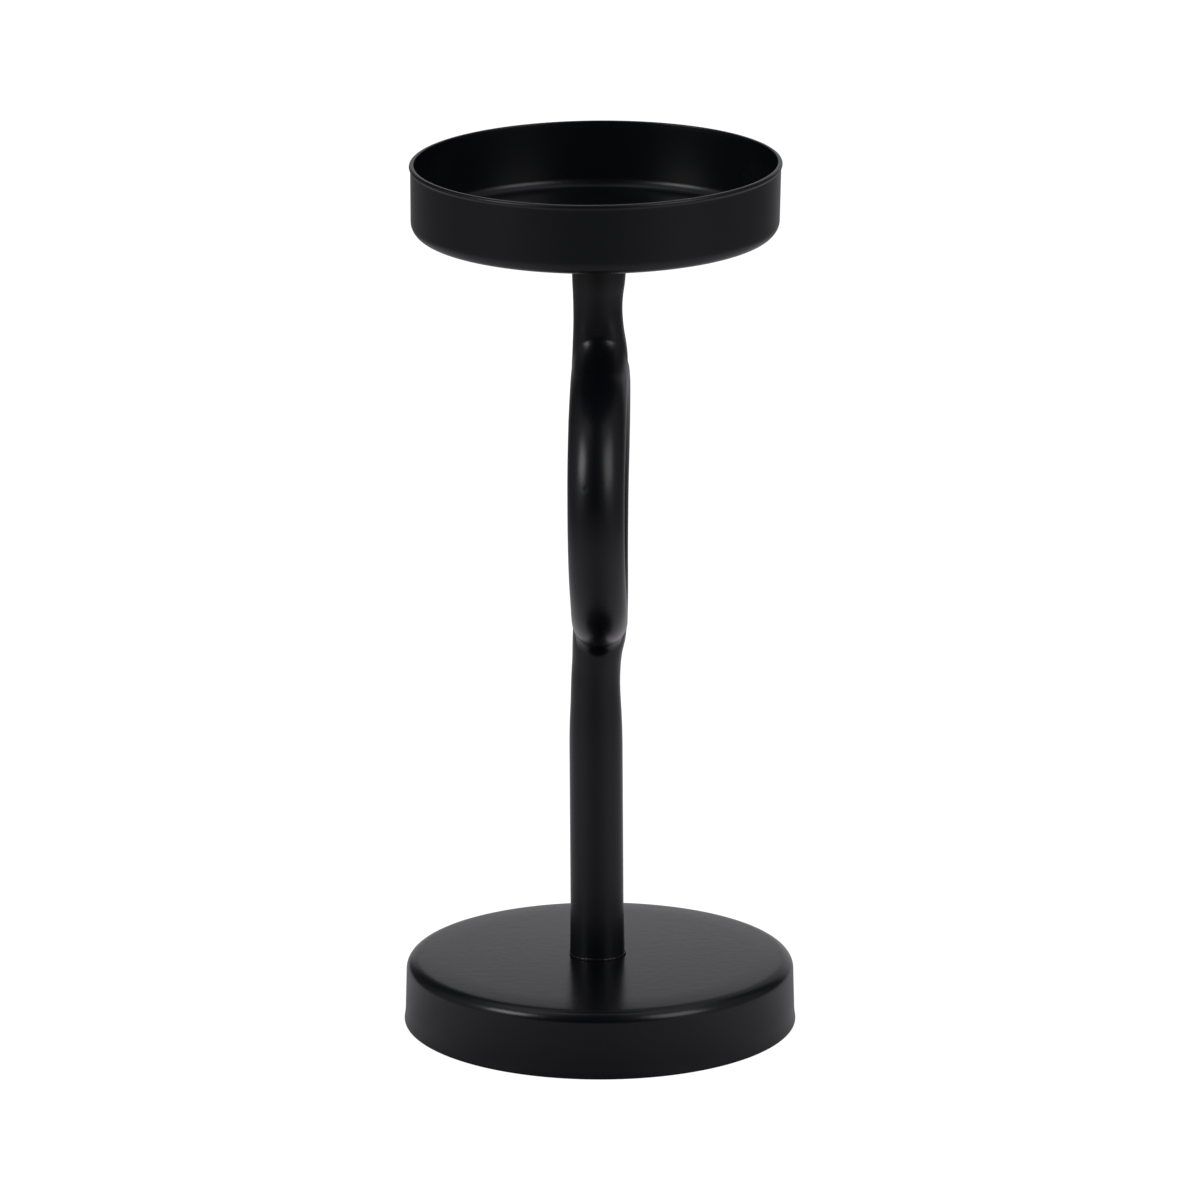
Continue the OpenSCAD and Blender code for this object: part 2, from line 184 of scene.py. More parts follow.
def new_object(name, points, faces, look, node=None):
    """A smooth mesh object from points in millimetres; with a node, it takes that node's place."""
    mesh = bpy.data.meshes.new(name)
    mesh.from_pydata([tuple(float(v) * MM for v in p) for p in points], [], faces)
    mesh.validate()
    mesh.update()
    mesh.polygons.foreach_set("use_smooth", [True] * len(mesh.polygons))
    obj = bpy.data.objects.new(name, mesh)
    bpy.context.scene.collection.objects.link(obj)
    obj.data.materials.append(look)
    if node:
        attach(obj, "root")
        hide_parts(node)
    return obj


def grid_faces(rows, cols, flip=False):
    """Quads of a grid whose rows and columns both close on themselves."""
    out = []
    for i in range(rows):
        k = (i + 1) % rows
        for j in range(cols):
            n = (j + 1) % cols
            q = (i * cols + j, i * cols + n, k * cols + n, k * cols + j)
            out.append(q[::-1] if flip else q)
    return out


def arc(cx, cz, r, a0, a1, n):
    """Points of an arc in the half plane of radius and height, ends included."""
    return [
        (cx + r * math.cos(math.radians(a0 + (a1 - a0) * i / n)),
         cz + r * math.sin(math.radians(a0 + (a1 - a0) * i / n)))
        for i in range(n + 1)
    ]


def line(p, q, n):
    """Points on a straight line, the first one left out."""
    return [(p[0] + (q[0] - p[0]) * i / n, p[1] + (q[1] - p[1]) * i / n) for i in range(1, n + 1)]


def closed_lathe(profile, shape):
    """Points and faces of a closed profile turned round the Z axis, each point put through shape."""
    points = []
    for r, z in profile:
        for j in range(SEGMENTS):
            a = 2 * math.pi * j / SEGMENTS
            points.append(shape((r * math.cos(a), r * math.sin(a), z)))
    return points, grid_faces(len(profile), SEGMENTS)


# Materials
COAT_COLOUR = (0.0022, 0.0025, 0.0037, 1)
COAT_SPECULAR = 0.3
PEEL_DETAIL = 1.5
PEEL_DEPTH = 0.0001


def material(name):
    """A new material, with its nodes and links."""
    mat = bpy.data.materials.new(name)
    mat.use_nodes = True
    return mat, mat.node_tree.nodes, mat.node_tree.links


def coat(name, rough, grain, relief):
    """Black satin powder coat: dark, with a faint orange peel."""
    mat, nodes, links = material(name)
    bsdf = nodes["Principled BSDF"]
    bsdf.inputs["Base Color"].default_value = COAT_COLOUR
    bsdf.inputs["Roughness"].default_value = rough
    bsdf.inputs["Specular IOR Level"].default_value = COAT_SPECULAR
    place = nodes.new("ShaderNodeTexCoord")
    peel = nodes.new("ShaderNodeTexNoise")
    peel.inputs["Scale"].default_value = grain
    peel.inputs["Detail"].default_value = PEEL_DETAIL
    bump = nodes.new("ShaderNodeBump")
    bump.inputs["Strength"].default_value = relief
    bump.inputs["Distance"].default_value = PEEL_DEPTH
    links.new(place.outputs["Object"], peel.inputs["Vector"])
    links.new(peel.outputs["Fac"], bump.inputs["Height"])
    links.new(bump.outputs["Normal"], bsdf.inputs["Normal"])
    return mat


def plain(name, colour, rough, metal=0.0):
    """An even surface without relief."""
    mat, nodes, _ = material(name)
    bsdf = nodes["Principled BSDF"]
    bsdf.inputs["Base Color"].default_value = (*colour, 1)
    bsdf.inputs["Roughness"].default_value = rough
    bsdf.inputs["Metallic"].default_value = metal
    return mat


BLACK = coat("black_coat_look", rough=0.3, grain=900.0, relief=0.10)
BASE_BLACK = coat("base_coat_look", rough=0.24, grain=380.0, relief=0.25)
STEEL = plain("plain_steel_look", (0.5, 0.51, 0.53), 0.35, 1.0)
IRON = plain("raw_iron_look", (0.08, 0.08, 0.085), 0.7, 0.3)
PAD = plain("pad_look", (0.015, 0.015, 0.015), 0.9)

LOOKS = {
    "dish_screw": STEEL,
    "upper_insert": STEEL,
    "lower_insert": STEEL,
    "base_bolt": STEEL,
    "base_washer": STEEL,
    "ballast": IRON,
    "base_pad": PAD,
}
for node_name, node_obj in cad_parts.items():
    node_obj.data.materials.clear()
    node_obj.data.materials.append(LOOKS.get(node_name, BLACK))


# Base cover, its top tipped a little as on the sample: its rise per millimetre towards the
# back and towards the right
TOP_TIP = -0.0163
TOP_LEAN = 0.0012
# The wall takes up the tip from this height on, over this much height
TIP_FROM = 3.0
TIP_RUN = 13.0
# The top's height over its nominal level in the middle, its fall at a radius, and its
# further fall in the roll-off, which begins at a radius and has that fall after a width
DOME_H = 0.76
DOME_FALL = 0.5
DOME_R = 56.0
ROLL_FALL = 0.15
ROLL_FROM = 46.0
ROLL_WIDTH = 10.0


def dome(r):
    """Height of the pressed top over its nominal level at radius r: nearly flat, rolled off outside."""
    roll = max(0.0, (r - ROLL_FROM) / ROLL_WIDTH)
    return DOME_H - DOME_FALL * (r / DOME_R) ** 2 - ROLL_FALL * roll * roll


def base_shape(p):
    """A point of the true base cover moved to where the sample's tipped and domed one has it."""
    x, y, z = p
    k = eased(min(1.0, max(0.0, (z - TIP_FROM) / TIP_RUN)))
    return (x, y, z + (TOP_TIP * y + TOP_LEAN * x + dome(math.hypot(x, y))) * k)


def build_base():
    """Pressed base cover: a top with a hole, a rounded edge and a wall that flares at its foot."""
    hole = 8.0
    edge = 3.6
    wall_top = 59.3
    wall_low = 59.6
    foot = 60.0
    sheet = 1.2
    flare_z = 5.0
    flare_h = 4.6
    flare_w = 0.4
    flare_rows = 8
    low_edge = 0.15
    sole = 0.2
    inner_low = 0.4
    close = 0.05
    # the close second point keeps the hole's edge out of the top's shading
    outer = [(hole, BASE_H), (hole + close, BASE_H)]
    outer += line(outer[-1], (wall_top - edge, BASE_H), 40)
    outer += arc(wall_top - edge, BASE_H - edge, edge, 90, 0, 16)[1:]
    outer += line(outer[-1], (wall_low, flare_z), 12)
    flare = (flare_h**2 + flare_w**2) / (2 * flare_w)
    for i in range(1, flare_rows + 1):
        z = flare_z - flare_h * i / flare_rows
        outer.append((wall_low + flare - math.sqrt(flare**2 - (flare_z - z) ** 2), z))
    outer += arc(foot - low_edge, low_edge, low_edge, 0, -80, 8)[1:]
    outer.append((foot - low_edge - sole, 0.0))
    inner = [(wall_low - sheet, 0.0), (wall_low - sheet, inner_low)]
    inner += line(inner[-1], (wall_top - sheet, BASE_H - edge), 6)
    inner += arc(wall_top - edge, BASE_H - edge, edge - sheet, 0, 90, 8)[1:]
    inner += [(hole, BASE_H - sheet)]
    points, faces = closed_lathe(outer + inner, base_shape)
    return new_object("base_cover_skin", points, faces, BASE_BLACK, "base_cover")


# Dish, leaning a little to its left as on the sample, its rim more than its floor
RIM_LEAN = math.radians(0.53)
FLOOR_LEAN = math.radians(0.22)
# Its sideways shift, the height at which it has just that shift, and how far the middles of
# its floor and its rim sit below their true heights
DISH_X = -1.38
LEAN_Z = 259.0
FLOOR_DROP = 0.73
RIM_DROP = 0.53


def dish_shape(p):
    """A point of the true dish moved to where the sample's leaning one has it."""
    x, y, z = p
    up = min(1.0, max(0.0, (z - DISH_Z) / DISH_H))
    lean = FLOOR_LEAN + (RIM_LEAN - FLOOR_LEAN) * up
    drop = FLOOR_DROP + (RIM_DROP - FLOOR_DROP) * up
    return (x + (z - LEAN_Z) * math.sin(RIM_LEAN) + DISH_X, y, z + x * math.sin(lean) - drop)


def build_dish():
    """Pressed dish: a floor with a dimple for its screw, a bend, a wall and a small rolled rim."""
    bend = 4.0
    top = 55.6
    low = 55.4
    rim = 56.0
    roll = 0.7
    lip = 0.3
    middle = 0.02
    dimple_top = 5.5
    dimple_low = 5.0
    dimple_h = 0.45
    floor_z = DISH_Z + DISH_T
    # the wall's end and the points through which it turns out to the roll, below the rim
    wall_end = 1.62
    turn_out = ((0.01, 1.5), (0.05, 1.4), (0.12, 1.31))
    outer = [(middle, DISH_Z)]
    outer += line(outer[-1], (low - bend, DISH_Z), 8)
    outer += arc(low - bend, DISH_Z + bend, bend, -90, 0, 14)[1:]
    outer += line(outer[-1], (top, OVERALL_H - wall_end), 12)
    outer += [(top + out, OVERALL_H - below) for out, below in turn_out]
    outer += arc(rim - roll, OVERALL_H - roll, roll, -50, 90, 14)
    inner = [(top - DISH_T + lip, OVERALL_H)]
    inner += arc(top - DISH_T + lip, OVERALL_H - lip, lip, 90, 180, 5)[1:]
    inner += line(inner[-1], (low - DISH_T, DISH_Z + bend), 10)
    inner += arc(low - bend, DISH_Z + bend, bend - DISH_T, 0, -90, 14)[1:]
    inner += line(inner[-1], (dimple_top, floor_z), 8)
    inner += line((dimple_top, floor_z), (dimple_low, floor_z - dimple_h), 2)
    inner += [(middle, floor_z - dimple_h)]
    points, faces = closed_lathe(outer + inner, dish_shape)
    return new_object("dish_skin", points, faces, BLACK, "dish")


def build_dish_screw():
    """The part's own screw, set into the leaning dish's dimple."""
    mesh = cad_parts["dish_screw"].data.copy()
    head = dish_shape((0.0, 0.0, DISH_Z + DISH_T))
    shift = Vector((head[0], 0.0, head[2] - DISH_Z - DISH_T)) * MM
    for vertex in mesh.vertices:
        vertex.co += shift
    obj = bpy.data.objects.new("dish_screw_skin", mesh)
    bpy.context.scene.collection.objects.link(obj)
    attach(obj, "root")
    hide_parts("dish_screw")
    return obj


# Stem, mouth and fillet as one skin each, so that the light runs over the joint unbroken.
# The lower stem swells towards the base, by this share over this height.
FOOT_SWELL = 0.035
SWELL_H = 17.0
# From this height over the neck down the section turns squarish, over this much height
SQUARE_UP = 1.0
SQUARE_RUN = 8.0
# Nearness to the ring's side at which a fillet ends, as a share of the ring's half width
SIDE_LIMIT = 0.995
# Length and depth of the skirt that runs on over the ring and sinks below its surface
SKIRT = 1.2
SKIRT_SINK = 0.05
# The skin's inner wall is a plain bore, narrower than the tube's by this much so that it
# passes the neck. It ends inside the ring, this high over the ring's centre line.
NECK_ROOM = 1.2
BORE_END = 2.0
# How far the upper stem ends below the dish's true underside: inside the lowered floor
STEM_SUNK = 0.55
# Rows of the three parts of a skin
STEM_ROWS = 60
ARC_ROWS = 24
SKIRT_ROWS = 5
# The search for a resting ball starts this high over the crown and takes this many rounds,
# each with this many halvings to find the ball's touching point on the oval
BALL_START = 2.0
BALL_ROUNDS = 30
HALVINGS = 40


def s_radius(run, rise):
    """Radius of the two equal arcs of an S with the given run and rise."""
    return (run * run + rise * rise) / (4 * rise)


def arcs_of(stem):
    """Arc radii of the S from the mouth to the neck and of the S from the neck to the tube."""
    mouth = s_radius(stem.neck_h - stem.mouth_h, stem.mouth - stem.neck)
    tube = s_radius(stem.tube_h - stem.neck_h, TUBE_R - stem.neck)
    return mouth, tube


def stem_r(stem, s):
    """Radius of a stem at height s over the ring's centre."""
    m, t = arcs_of(stem)
    mid_m = (stem.mouth_h + stem.neck_h) / 2
    mid_t = (stem.neck_h + stem.tube_h) / 2

    def root(r, d):
        return np.sqrt(np.maximum(r * r - d * d, 0))

    return np.select(
        [s <= stem.mouth_h, s <= mid_m, s <= stem.neck_h, s <= mid_t, s <= stem.tube_h],
        [
            stem.mouth + 0 * s,
            stem.mouth - m + root(m, s - stem.mouth_h),
            stem.neck + m - root(m, stem.neck_h - s),
            stem.neck + t - root(t, s - stem.neck_h),
            TUBE_R - t + root(t, stem.tube_h - s),
        ],
        TUBE_R + 0 * s,
    )


def stem_lean(stem, s):
    """Sine of the wall's slope at height s: above zero where the stem widens downwards."""
    m, t = arcs_of(stem)
    mid_m = (stem.mouth_h + stem.neck_h) / 2
    mid_t = (stem.neck_h + stem.tube_h) / 2
    return np.select(
        [s <= stem.mouth_h, s <= mid_m, s <= stem.neck_h, s <= mid_t, s <= stem.tube_h],
        [
            0 * s,
            (s - stem.mouth_h) / m,
            (stem.neck_h - s) / m,
            -(s - stem.neck_h) / t,
            -(stem.tube_h - s) / t,
        ],
        0 * s,
    )


def foot_swell(z):
    """Growth of the lower stem's radius near the base, as a share."""
    q = np.clip((BASE_H + SWELL_H - z) / SWELL_H, 0, 1)
    return 1 + FOOT_SWELL * q


def oval(t):
    """Sideways and outward position on the bent tube's oval section at parameter t."""
    return HALF_W * np.cos(t), HALF_H * np.sin(t)


def oval_normal(t):
    """Unit normal of the oval section at parameter t."""
    x = HALF_H * np.cos(t)
    h = HALF_W * np.sin(t)
    n = np.hypot(x, h)
    return x / n, h / n


def polar(r, f, z):
    """Points at radius r, azimuth f and height z."""
    return np.stack([r * np.cos(f), r * np.sin(f), z], 1)


def over_ring(x, h, a):
    """Points x beside the ring's plane, at radius h round its axis and angle a from its crown."""
    return np.stack([x, h * np.sin(a), h * np.cos(a)], 1)


def ball_angle(x, rho):
    """Parameter of the oval at which a ball of radius rho with its centre at x touches it."""
    low = np.zeros_like(x)
    high = np.full_like(x, math.pi)
    for _ in range(HALVINGS):
        t = (low + high) / 2
        over = oval(t)[0] + rho * oval_normal(t)[0] > x
        low = np.where(over, t, low)
        high = np.where(over, high, t)
    return (low + high) / 2


def resting_ball(stem, f, rho):
    """A ball of radius rho that rests on both the stem and the ring, for each azimuth f.

    Gives the height and the slope where it touches the stem, the oval's parameter where it
    touches the ring, and its centre.
    """
    s = np.full(len(f), CROWN + BALL_START)
    for _ in range(BALL_ROUNDS):
        b = np.arcsin(stem_lean(stem, s))
        d = stem_r(stem, s) + rho * np.cos(b)
        t = ball_angle(d * np.cos(f), rho)
        h = oval(t)[1] + rho * oval_normal(t)[1]
        s = np.sqrt((RING_R + h) ** 2 - (d * np.sin(f)) ** 2) - rho * np.sin(b)
    return s, b, t, polar(d, f, s + rho * np.sin(b))


def squarish(f, power):
    """Growth of a round section's radius at azimuth f that flattens its four sides."""
    return (np.abs(np.cos(f)) ** power + np.abs(np.sin(f)) ** power) ** (-1 / power)


def fillet_radius(fillet, f):
    """Radius of a fillet at azimuth f: thin towards the ring's sides, full along its tube."""
    side = np.degrees(np.arctan2(np.abs(np.sin(f)), np.abs(np.cos(f))))
    grow = eased(np.clip((side - fillet.thin) / (fillet.full - fillet.thin), 0, 1))
    lift = 1 + fillet.lift * (1 - np.abs(np.sin(f))) * grow
    return fillet.radius * (THIN_SHARE + (1 - THIN_SHARE) * grow) * lift


def ring_line(t, centre, square):
    """Where a fillet ends on the ring, grown with the squarish section, and the normals there."""
    a = np.arctan2(centre[:, 1], centre[:, 2])
    x, h = oval(t)
    y = (RING_R + h) * np.sin(a) * (1 + square)
    x = np.clip(x * (1 + square), -SIDE_LIMIT * HALF_W, SIDE_LIMIT * HALF_W)
    t = np.arccos(x / HALF_W)
    x, h = oval(t)
    a = np.arcsin(y / (RING_R + h))
    nx, nh = oval_normal(t)
    return over_ring(x, RING_R + h, a), over_ring(nx, nh, a)


def skirt_rows(touch, tangent):
    """Rows that carry a skin on over the ring from its end and sink it a hair below the surface."""
    rows = []
    for i in range(1, SKIRT_ROWS + 1):
        q = i / SKIRT_ROWS
        p = touch + tangent * (SKIRT * q)
        out = np.hypot(p[:, 1], p[:, 2]) - RING_R
        a = np.arctan2(p[:, 1], p[:, 2])
        t = np.arctan2(out / HALF_H, p[:, 0] / HALF_W)
        x, h = oval(t)
        nx, nh = oval_normal(t)
        x = x - nx * SKIRT_SINK * q * q
        h = h - nh * SKIRT_SINK * q * q
        rows.append(over_ring(x, RING_R + h, a))
    return rows


def joint_skin(stem, top, fillet, down):
    """Closed skin from a stem's end over its mouth and fillet onto the ring's crown."""
    f = np.linspace(0, 2 * math.pi, STEM_COLS, endpoint=False)
    rho = fillet_radius(fillet, f)
    square = squarish(f, fillet.power) - 1

    def grown(s):
        q = np.clip((stem.neck_h + SQUARE_UP - s) / SQUARE_RUN, 0, 1)
        return stem_r(stem, s) * (1 + square * eased(q))

    # one ball gives the line on the stem, a larger one the line on the ring
    s, slope = resting_ball(stem, f, rho)[:2]
    touch_stem = polar(grown(s), f, s)
    down_stem = polar(np.sin(slope), f, -np.cos(slope))
    t, centre = resting_ball(stem, f, rho * fillet.reach)[2:]
    touch_ring, away = ring_line(t, centre, square)
    run = ((touch_ring - touch_stem) * away).sum(1) / (down_stem * away).sum(1)
    corner = touch_stem + down_stem * run[:, None]
    rows = []
    for i in range(STEM_ROWS):
        height = top + (s - top) * (i / STEM_ROWS)
        rows.append(polar(grown(height), f, height))
    # a flattened curve between the two lines, rounder where the fillet's share is larger
    for i in range(ARC_ROWS + 1):
        q = i / ARC_ROWS
        a = (1 - q) ** 2
        c = 2 * fillet.share * q * (1 - q)
        e = q * q
        rows.append((a * touch_stem + c * corner + e * touch_ring) / (a + c + e))
    tangent = touch_ring - rows[-2]
    tangent /= np.linalg.norm(tangent, axis=1)[:, None]
    rows += skirt_rows(touch_ring, tangent)
    # inner wall of the tube, from inside the ring to the open end, so that the skin is closed
    bore = TUBE_R - TUBE_T - NECK_ROOM
    rows.append(polar(bore, f, np.full(STEM_COLS, RING_R + BORE_END)))
    rows.append(polar(bore, f, np.full(STEM_COLS, top)))
    points = np.concatenate(rows)
    if down:
        points = points * np.array([1, -1, -1])
    points[:, 2] += RING_Z
    swell = foot_swell(points[:, 2])
    points[:, 1] *= swell
    points[:, 0] = points[:, 0] * widen(points[:, 2]) * swell + axis_x(points[:, 2])
    return points, grid_faces(len(rows), STEM_COLS, flip=True)


# A small pit in the coat of the ring's front: its place, its width and its depth
PIT = (-3.3, -43.6, 179.7)
PIT_WIDTH = 0.8
PIT_DEPTH = 0.09


def build_ring():
    """Ring of bent tube with an oval section, following the sample's wander, width and turn."""
    turns = 540
    around = 96
    a = np.linspace(0, 2 * math.pi, turns, endpoint=False)
    t = np.linspace(0, 2 * math.pi, around, endpoint=False)
    aa, tt = np.meshgrid(a, t, indexing="ij")
    x = HALF_W * np.cos(tt)
    h = RING_R + HALF_H * np.sin(tt)
    y = h * np.sin(aa)
    z = RING_Z + h * np.cos(aa)
    x = x * widen(z) + axis_x(z) - y * twist(z)
    points = np.stack([x, y, z], 2).reshape(-1, 3)
    core = np.stack([axis_x(z), RING_R * np.sin(aa), RING_Z + RING_R * np.cos(aa)], 2).reshape(-1, 3)
    inward = (core - points) / np.linalg.norm(core - points, axis=1)[:, None]
    near = np.exp(-((points - np.array(PIT)) ** 2).sum(1) / PIT_WIDTH**2)
    points = points + inward * (PIT_DEPTH * near)[:, None]
    return new_object("ring_skin", points, grid_faces(turns, around), BLACK, "ring")


def build_stems():
    """Both stems, each with its weld."""
    points, faces = joint_skin(UP, DISH_Z - RING_Z - STEM_SUNK, UP_FILLET, False)
    upper = new_object("upper_stem_skin", points, faces, BLACK)
    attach(upper, "root")
    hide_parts("upper_stem", "upper_weld")
    points, faces = joint_skin(LOW, RING_Z - BASE_H, LOW_FILLET, True)
    lower = new_object("lower_stem_skin", points, faces, BLACK)
    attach(lower, "root")
    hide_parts("lower_stem", "lower_weld")
    return upper, lower


# The bead round the stem's foot: how far its middle lies outside the stem and over the base,
# its half width and half height, how much of its unevenness each takes up, and that
# unevenness as waves of a size, a count round the stem and a phase
BEAD_OUT = 0.24
BEAD_UP = 0.20
BEAD_HALF_W = 0.26
BEAD_HALF_H = 0.55
BEAD_UNEVEN_W = 0.5
BEAD_UNEVEN_H = 0.8
BEAD_WAVES = ((0.10, 3, 0.7), (0.09, 7, 2.1), (0.07, 13, 0.4), (0.06, 29, 1.3))


def build_foot_bead():
    """Uneven seam of coated weld round the stem's foot."""
    cols = 288
    across = 12
    points = []
    for i in range(across):
        q = 2 * math.pi * i / across
        for j in range(cols):
            a = 2 * math.pi * j / cols
            uneven = sum(size * math.sin(count * a + phase) for size, count, phase in BEAD_WAVES)
            r = TUBE_R + BEAD_OUT + (BEAD_HALF_W + BEAD_UNEVEN_W * uneven) * math.cos(q)
            z = BASE_H + dome(r) + BEAD_UP + (BEAD_HALF_H + BEAD_UNEVEN_H * uneven) * math.sin(q)
            x = r * math.cos(a)
            y = r * math.sin(a)
            points.append((x + float(axis_x(BASE_H)), y, z + TOP_TIP * y))
    return new_object("foot_bead_skin", points, grid_faces(across, cols), BLACK, "foot_bead")


build_base()
build_dish()
build_dish_screw()
build_ring()
build_stems()
build_foot_bead()


# Studio: a white ground and surround for the camera, two soft boxes, and in reflections the same
# surround shaded by direction and the ground painted with shade and a pool of light, because the
# sample's coat mirrors a room.
# Each table by direction is in degrees from the viewer's side.
def turned(stops):
    """Stops given by azimuth in degrees from the viewer's side, as places on the ramp."""
    return [((az + 90.0) / 360.0, value) for az, value in stops]


# Brightness of the surround: dark towards the viewer, pale screens at the sides and behind
ROOM = turned((
    (-90, 0.36), (-60, 0.50), (-35, 0.06), (0, 0.0), (26, 0.07), (55, 0.58), (80, 0.36),
    (105, 0.28), (125, 0.10), (137, 0.04), (146, 0.36), (156, 0.52), (165, 0.60), (180, 0.78),
    (194, 0.54), (208, 0.10), (222, 0.05), (240, 0.15), (255, 0.30), (270, 0.36),
))
# Share that the surround loses higher up, by direction and by height
LOSS = turned((
    (-90, 0.0), (90, 0.0), (135, 0.1), (160, 0.5), (180, 1.0), (200, 1.0), (220, 0.3), (270, 0.0),
))
LOSS_RISE = ((0.0, 0.0), (0.2, 0.0), (0.38, 0.75), (1.0, 0.75))
# Brightness overhead, and its share by height
CEILING = turned((
    (-90, 0.9), (-60, 0.95), (-40, 0.48), (-20, 0.05), (20, 0.05), (40, 0.50), (60, 0.9),
    (90, 0.9), (120, 0.7), (180, 0.45), (270, 0.9),
))
CEILING_RISE = ((0.0, 0.0), (0.72, 0.0), (0.9, 1.0), (1.0, 1.0))
# Painted brightness of the table as reflections show it, at any distance, with painted shade towards
# the viewer
TABLE = turned((
    (-90, 0.05), (-60, 0.15), (-35, 0.08), (0, 0.0), (30, 0.10), (60, 0.19), (90, 0.10),
    (120, 0.01), (137, 0.0), (150, 0.07), (165, 0.20), (180, 0.13), (195, 0.13), (210, 0.0),
    (240, 0.0), (255, 0.03), (270, 0.05),
))
# Painted pool of light on the table round the object, seen in reflections and dimmed to painted shade
# right at its foot, by direction and by distance in metres
NEAR = turned((
    (-90, 1.0), (-50, 0.9), (-20, 0.65), (20, 0.65), (50, 0.9), (90, 1.0), (180, 0.9), (270, 1.0),
))
POOL = (
    (0.0, 0.05), (0.06, 0.10), (0.12, 0.26), (0.24, 0.34), (0.42, 0.30), (0.62, 0.06), (0.8, 0.0),
)

WHITE = (1, 1, 1, 1)
# The surround and the table's painted glow in reflections are a little tinted, as the sample shows them
ROOM_TINT = (1, 1, 1.05, 1)
TABLE_TINT = (1.04, 0.99, 1.07, 1)
# Seen directly, the floor's own glow and what its matt part sends back come to white
FLOOR_GLOW = 0.91
FLOOR_GREY = (0.17, 0.17, 0.17, 1)
FLOOR_HALF = 8.0
# Even light that only matt surfaces take up, so that a colour renders about as it is written
EVEN_LIGHT = 0.6
# The point that the lamps face
LAMP_AIM = Vector((0, 0, 0.14))


def ramp_of(nodes, links, source, stops):
    """Value that follows a socket through a table of places and values, eased between them."""
    ramp = nodes.new("ShaderNodeValToRGB")
    ramp.color_ramp.interpolation = "EASE"
    ramp.color_ramp.elements[0].position = stops[0][0]
    ramp.color_ramp.elements[1].position = stops[-1][0]
    for position, _ in stops[1:-1]:
        ramp.color_ramp.elements.new(position)
    for element, (_, value) in zip(ramp.color_ramp.elements, stops):
        element.color = (value, value, value, 1)
    links.new(source, ramp.inputs["Fac"])
    return ramp.outputs["Color"]


def by_azimuth(nodes, links, space, stops):
    """Value that changes with the direction round the object, in the named coordinates."""
    place = nodes.new("ShaderNodeTexCoord")
    turn = nodes.new("ShaderNodeTexGradient")
    turn.gradient_type = "RADIAL"
    links.new(place.outputs[space], turn.inputs["Vector"])
    return ramp_of(nodes, links, turn.outputs["Fac"], stops)


def math_node(nodes, links, operation, a, b):
    """Result of an operation on two values, each a number or a socket."""
    node = nodes.new("ShaderNodeMath")
    node.operation = operation
    for i, value in enumerate((a, b)):
        if isinstance(value, float):
            node.inputs[i].default_value = value
        else:
            links.new(value, node.inputs[i])
    return node.outputs[0]


def painted_table_glow(nodes, links, path):
    """Painted glow of the table in reflections: the pale background with painted shade towards the
    viewer and a painted pool of light round the object.
    """
    shiny = math_node(
        nodes, links, "MAXIMUM", path.outputs["Is Glossy Ray"], path.outputs["Is Transmission Ray"],
    )
    place = nodes.new("ShaderNodeTexCoord")
    far = nodes.new("ShaderNodeVectorMath")
    far.operation = "LENGTH"
    links.new(place.outputs["Object"], far.inputs[0])
    pool = ramp_of(nodes, links, far.outputs["Value"], POOL)
    near = math_node(nodes, links, "MULTIPLY", by_azimuth(nodes, links, "Object", NEAR), pool)
    glow = math_node(nodes, links, "ADD", by_azimuth(nodes, links, "Object", TABLE), near)
    return math_node(nodes, links, "MULTIPLY", shiny, glow)


def build_floor():
    """Pale table: white for the camera, with a painted glow of shade and a pool of light in
    reflections, and the object's real shadow on its matt part.
    """
    mesh = bpy.data.meshes.new("floor")
    corners = [
        (-FLOOR_HALF, -FLOOR_HALF, 0),
        (FLOOR_HALF, -FLOOR_HALF, 0),
        (FLOOR_HALF, FLOOR_HALF, 0),
        (-FLOOR_HALF, FLOOR_HALF, 0),
    ]
    mesh.from_pydata(corners, [], [(0, 1, 2, 3)])
    floor = bpy.data.objects.new("floor", mesh)
    bpy.context.scene.collection.objects.link(floor)
    mat, nodes, links = material("floor_look")
    nodes.clear()
    out = nodes.new("ShaderNodeOutputMaterial")
    add = nodes.new("ShaderNodeAddShader")
    matte = nodes.new("ShaderNodeBsdfDiffuse")
    matte.inputs["Color"].default_value = FLOOR_GREY
    white = nodes.new("ShaderNodeEmission")
    white.inputs["Color"].default_value = WHITE
    path = nodes.new("ShaderNodeLightPath")
    seen = math_node(nodes, links, "MULTIPLY", path.outputs["Is Camera Ray"], FLOOR_GLOW)
    links.new(seen, white.inputs["Strength"])
    # painted glow of the table with painted shade and a painted pool of light, seen only in reflections
    painted_glow = nodes.new("ShaderNodeEmission")
    painted_glow.inputs["Color"].default_value = TABLE_TINT
    links.new(painted_table_glow(nodes, links, path), painted_glow.inputs["Strength"])
    both = nodes.new("ShaderNodeAddShader")
    links.new(white.outputs[0], both.inputs[0])
    links.new(painted_glow.outputs[0], both.inputs[1])
    links.new(matte.outputs[0], add.inputs[0])
    links.new(both.outputs[0], add.inputs[1])
    links.new(add.outputs[0], out.inputs["Surface"])
    mesh.materials.append(mat)
    return floor


